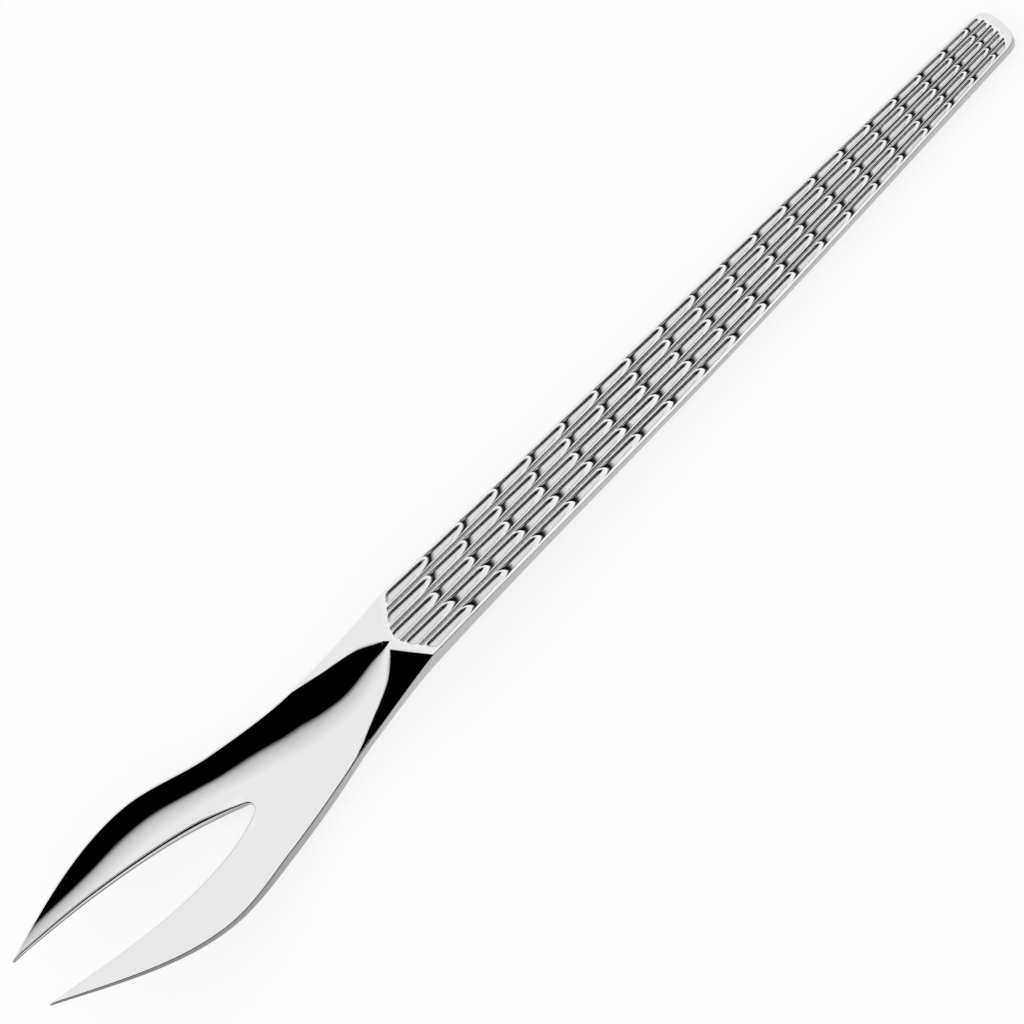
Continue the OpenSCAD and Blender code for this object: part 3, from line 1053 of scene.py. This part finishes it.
# %% [markdown]
# ## Finishes
#
# The whole fork is one steel with three finishes. The bowl, the neck and the lands are
# polished to a mirror, with a haze of very fine polishing lines along the fork. The
# coined face is a little uneven, as pressed metal is, and a painted shade darkens its
# pockets, grooves and far steps, where the relief stands in shade and mirrors dark
# things. The cut sides are smooth but not a mirror, and their dark tone is a painted
# reflection of a darker floor. All three share one node group for what polishing leaves
# behind.

# %% Shared group: what polishing leaves behind
ALONG_LINES, ACROSS_LINES = 60, 2400
CLOUDS, GRAINS = 55.0, 2600.0
LINE_HEIGHT = 0.04


def noise(tree, vector, scale, detail):
    """A noise texture; gives its value."""
    inputs = {"Vector": vector, "Scale": scale, "Detail": detail}
    return add_node(tree, "ShaderNodeTexNoise", inputs)[0]


def polishing_traces():
    """The group: haze and unevenness in; roughness, height and tone out."""
    group = bpy.data.node_groups.new("polishing_traces", "ShaderNodeTree")
    add_socket(group, "INPUT", "Haze", "Float", 0.02)
    add_socket(group, "INPUT", "Unevenness", "Float", 0.0)
    for name in ("Roughness", "Height", "Tone"):
        add_socket(group, "OUTPUT", name, "Float")
    haze, unevenness = add_node(group, "NodeGroupInput", {})[:2]
    where = add_node(group, "ShaderNodeTexCoord", {})["Object"]
    stretched = {0: where, 1: (ALONG_LINES, ACROSS_LINES, ACROSS_LINES)}
    streaks = add_node(group, "ShaderNodeVectorMath", stretched, operation="MULTIPLY")
    lines = noise(group, streaks[0], 1.0, 2.0)
    clouds = noise(group, where, CLOUDS, 4.0)
    grains = noise(group, where, GRAINS, 2.0)
    fine = multiply(group, lines, LINE_HEIGHT)
    pressed = multiply(group, grains, unevenness)
    mottle = multiply(group, calculate(group, "SUBTRACT", grains, 0.5), unevenness)
    add_node(group, "NodeGroupOutput", {
        "Roughness": multiply(group, multiply(group, lines, clouds), haze),
        "Height": calculate(group, "ADD", fine, pressed),
        "Tone": calculate(group, "ADD", clouds, mottle, clamp=True),
    })
    return group


traces = polishing_traces()
print("group:", traces.name)

# %% Steel
BUMP_STRENGTH, BUMP_HEIGHT = 0.5, 0.01


def mix_colours(tree, factor, a, b):
    """A mix of two greys, each a number or a socket."""
    inputs = {"Factor": factor}
    for name, grey in (("A", a), ("B", b)):
        inputs[name] = (grey, grey, grey, 1) if isinstance(grey, float) else grey
    return add_node(tree, "ShaderNodeMix", inputs, data_type="RGBA")["Result"]


def steel(material, dark, bright, roughness, haze, unevenness):
    """Metal with the traces of polishing; gives its tree, tone, roughness and patches."""
    material.use_nodes = True
    tree = material.node_tree
    inputs = {"Haze": haze, "Unevenness": unevenness}
    marks = add_node(tree, "ShaderNodeGroup", inputs, node_tree=traces)
    bump = add_node(tree, "ShaderNodeBump", {
        "Strength": BUMP_STRENGTH,
        "Distance": BUMP_HEIGHT * MM,
        "Height": marks["Height"],
    })
    shader = tree.nodes["Principled BSDF"].inputs
    shader["Metallic"].default_value = 1.0
    tree.links.new(bump[0], shader["Normal"])
    tone = mix_colours(tree, marks["Tone"], dark, bright)
    rough = calculate(tree, "ADD", marks["Roughness"], roughness)
    tree.links.new(tone, shader["Base Color"])
    tree.links.new(rough, shader["Roughness"])
    return tree, tone, rough, marks["Tone"]


def point_value(tree, name):
    """A value that the points of a mesh carry."""
    return add_node(tree, "ShaderNodeAttribute", {}, attribute_name=name)["Fac"]


print("steel: relief of", BUMP_HEIGHT, "mm")

# %% Polished, coined and cut steel
# Painted shade: the near-black tone of the grooves, far steps and pockets.
PAINTED_SHADE_TONE = 0.04
FLOOR_TONE, FLOOR_SHARE = 0.5, 0.2
PATCH_SHARE = 0.7
POCKET_GAIN = 1.8
# Painted shade on the cut sides round the bowl, standing for the black card above it.
NECK_PAINTED_SHADE, NECK_FROM, NECK_TO = 0.15, -130, -30


def coin_steel(material):
    """The pressed face: duller floors, with a painted shade in the grooves, on the far steps
    and in the pockets.
    """
    tree, tone, rough, patches = steel(material, 0.76, 0.87, 0.1, 0.05, 1.0)
    on_floor = multiply(tree, point_value(tree, "floor"), FLOOR_SHARE)
    tone = mix_colours(tree, on_floor, tone, FLOOR_TONE)
    patchy = multiply(tree, patches, PATCH_SHARE)
    patchy = calculate(tree, "ADD", patchy, 1 - PATCH_SHARE)
    # Painted shade in the grooves and on the far steps, and deeper in the pockets.
    groove = multiply(tree, point_value(tree, "groove"), patchy, clamp=True)
    hollow = multiply(tree, point_value(tree, "hollow"), POCKET_GAIN, clamp=True)
    tone = mix_colours(tree, calculate(tree, "MAXIMUM", groove, hollow), tone, PAINTED_SHADE_TONE)
    shader = tree.nodes["Principled BSDF"].inputs
    tree.links.new(tone, shader["Base Color"])
    tree.links.new(calculate(tree, "ADD", on_floor, rough), shader["Roughness"])


def cut_edge_steel_painted_shade(material):
    """The cut side, whose dark tone is a painted reflection, darkest round the bowl under the
    black card.
    """
    # Painted reflection: a tone near half that of the polished steel stands for the darker
    # floor the cut sides mirror.
    tree, tone, *_ = steel(material, 0.46, 0.54, 0.2, 0.1, 0.2)
    where = add_node(tree, "ShaderNodeTexCoord", {})["Object"]
    to_handle = add_node(tree, "ShaderNodeMapRange", {
        "Value": add_node(tree, "ShaderNodeSeparateXYZ", {0: where})["X"],
        "From Min": NECK_FROM * MM,
        "From Max": NECK_TO * MM,
    }, interpolation_type="SMOOTHSTEP")
    # Painted shade, darkest round the bowl.
    tone = mix_colours(tree, to_handle[0], NECK_PAINTED_SHADE, tone)
    tree.links.new(tone, tree.nodes["Principled BSDF"].inputs["Base Color"])


steel(polished_steel, 0.79, 0.83, 0.02, 0.02, 0.0)
coin_steel(coined_steel)
cut_edge_steel_painted_shade(cut_steel_painted_shade)
print("finishes:", polished_steel.name, coined_steel.name, cut_steel_painted_shade.name)

# %% [markdown]
# ## The studio
#
# Cutlery is shot in a white tent, so that the metal mirrors white all round. A black card
# hangs over the bowl. Its sharp edge and its graded edge are what the dark band on the
# bowl shows. The camera looks in through a gap in a black curtain, which every wall of
# the scales that faces the camera shows as a dark line. A soft lamp over the handle puts
# the lips of the scales at full white. Card and curtain are laid out by directions: two
# numbers say how far a ray from the fork leans along and across it on its way up.

# %% Floor and room
TABLE_GLOW = 0.75


def bare_material(name):
    """A material with nothing but its output; gives its tree and its surface too."""
    material = bpy.data.materials.new(name)
    material.use_nodes = True
    tree = material.node_tree
    tree.nodes.clear()
    return material, tree, tree.nodes.new("ShaderNodeOutputMaterial").inputs["Surface"]


table, tree, surface = bare_material("white_table")
paper = add_node(tree, "ShaderNodeBsdfDiffuse", {"Color": (0.97, 0.97, 0.97, 1)})
white = add_node(tree, "ShaderNodeEmission", {})
path = add_node(tree, "ShaderNodeLightPath", {})
seen = calculate(tree, "ADD", path["Is Camera Ray"], path["Is Glossy Ray"])
seen = calculate(tree, "ADD", seen, path["Is Transmission Ray"], clamp=True)
glow = multiply(tree, seen, TABLE_GLOW)
lighter = add_node(tree, "ShaderNodeMixShader", {0: glow, 1: paper[0], 2: white[0]})
tree.links.new(lighter[0], surface)
floor_corners = [(-3, -3, 0), (3, -3, 0), (3, 3, 0), (-3, 3, 0)]
floor = mesh_object("floor", floor_corners, [(0, 1, 2, 3)])
floor.data.materials.append(table)

world = bpy.data.worlds.new("white_room")
bpy.context.scene.world = world
world.use_nodes = True
world.node_tree.nodes["Background"].inputs["Color"].default_value = (1, 1, 1, 1)
print("floor and room are white")

# %% Black card, curtain and lamp


def cloth(name):
    """A glow whose strength comes from the points of a card."""
    material, tree, surface = bare_material(name)
    glow = add_node(tree, "ShaderNodeEmission", {"Strength": point_value(tree, "shade")})
    tree.links.new(glow[0], surface)
    return material


def hang(name, height, rows):
    """A card overhead, from rows of (x, y, glow). Only mirror-like rays see it."""
    points = [point for row in rows for point in row]
    places = [(x, y, height) for x, y, glow in points]
    obj = mesh_object(name, places, grid_faces(len(rows), len(rows[0])))
    shade = obj.data.attributes.new("shade", "FLOAT", "POINT")
    shade.data.foreach_set("value", [glow for x, y, glow in points])
    obj.data.materials.append(cloth(name + "_cloth"))
    obj.visible_camera = obj.visible_diffuse = obj.visible_shadow = False
    obj.visible_transmission = obj.visible_volume_scatter = False
    print(name + ":", len(points), "points")


CARD_HEIGHT, CARD_END, END_BLUR = 3.0, 0.6, 0.04
LAMP_HEIGHT = 0.5
sharp_line = [
    (-2.6, -0.3), (-0.5, -0.3), (-0.32, -0.1), (0, -0.09), (0.3, -0.06), (0.6, 0.0), (1.2, 0.2),
]
graded_line = [
    (-2.6, 1.1), (-1.2, 0.45), (-0.8, 0.345), (-0.5, 0.225), (-0.3, 0.145), (-0.1, 0.065),
    (0.1, 0.045), (0.4, 0.08), (0.5, 0.1), (0.57, 0.125), (0.64, 0.15), (1.2, 0.4),
]
softness_line = [(-2.6, 2.4), (-1.2, 2.2), (-0.5, 1), (-0.1, 0.4), (0.1, 0.25), (1.2, 0.25)]
grading = [
    (0, 0), (0.03, 0.2), (0.065, 0.43), (0.095, 0.56),
    (0.125, 0.64), (0.215, 0.77), (0.36, 0.9), (0.5, 1),
]
curtain_line = [(-0.17, 1), (-0.19, 0), (-0.9, 0), (-1.4, 0.3), (-2.0, 0.8), (-2.4, 1)]
lamp_x = [(-0.045, 1.0), (-0.02, 1.13), (0.125, 1.13), (0.155, 1.0)]
lamp_y = [(0.13, 0.0), (0.18, 1.0), (0.29, 1.0), (0.34, 0.0)]


def card_row(a):
    """The sharp edge of the black card and its graded edge, at a lean along the fork."""
    sharp, graded, softness = (
        float(curve(line, a)) for line in (sharp_line, graded_line, softness_line)
    )
    end = float(np.clip((a - CARD_END) / END_BLUR, 0, 1))
    row = [(sharp, 0)] + [(graded + t * softness, glow) for t, glow in grading]
    return [(a * CARD_HEIGHT, b * CARD_HEIGHT, glow + (1 - glow) * end) for b, glow in row]


def curtain_row(a):
    """The curtain in front of the camera, which fades towards the floor."""
    return [(a * CARD_HEIGHT, b * CARD_HEIGHT, glow) for b, glow in curtain_line]


def lamp_row(x, glow):
    """The lamp, which is brightest over the handle and fades to the white of the room."""
    return [(x, y, 1 + (glow - 1) * share) for y, share in lamp_y]


hang("black_card", CARD_HEIGHT, [card_row(a) for a in np.linspace(-2.6, 1.2, 96)])
hang("curtain", CARD_HEIGHT, [curtain_row(a) for a in np.linspace(-2.4, 2.4, 9)])
hang("handle_lamp", LAMP_HEIGHT, [lamp_row(x, glow) for x, glow in lamp_x])

# %% [markdown]
# ## Camera
#
# The camera looks down on the fork from beside its handle with a long lens, and the fork
# runs from the lower left corner to the upper right. These numbers were fitted to the
# outline of the real fork.

# %% Camera
TIP_UP, ROLL, TWIST = 4.599, 25.0, -0.122
DISTANCE, SHIFT_ALONG, SHIFT_UP = 895.433, 2.230, -3.731
ALONG_RIGHT, ALONG_UP = 0.71370, 0.70045
FOCAL, IMAGE, SENSOR = 5031.46, 1024, 36
turns = ((TWIST, "Z"), (-ROLL, "X"), (-TIP_UP, "Y"))
twist, roll, tip = (Matrix.Rotation(math.radians(a), 3, axis) for a, axis in turns)
along_fork, up_fork, toward = twist @ roll @ tip
eye = toward * DISTANCE - along_fork * SHIFT_ALONG - up_fork * SHIFT_UP
right = ALONG_RIGHT * along_fork - ALONG_UP * up_fork
up = ALONG_UP * along_fork + ALONG_RIGHT * up_fork
camera_data = bpy.data.cameras.new("camera")
camera_data.sensor_width = SENSOR
camera_data.lens = SENSOR * FOCAL / IMAGE
camera = bpy.data.objects.new("camera", camera_data)
bpy.context.scene.collection.objects.link(camera)
place = Matrix.Translation((eye + Vector((0, 0, -float(lift) / MM))) * MM)
camera.matrix_world = place @ Matrix((right, up, toward)).transposed().to_4x4()
bpy.context.scene.camera = camera
bpy.context.scene.view_settings.view_transform = "Standard"
print("eye at", [round(c, 4) for c in camera.location], "lens", round(camera_data.lens, 1))
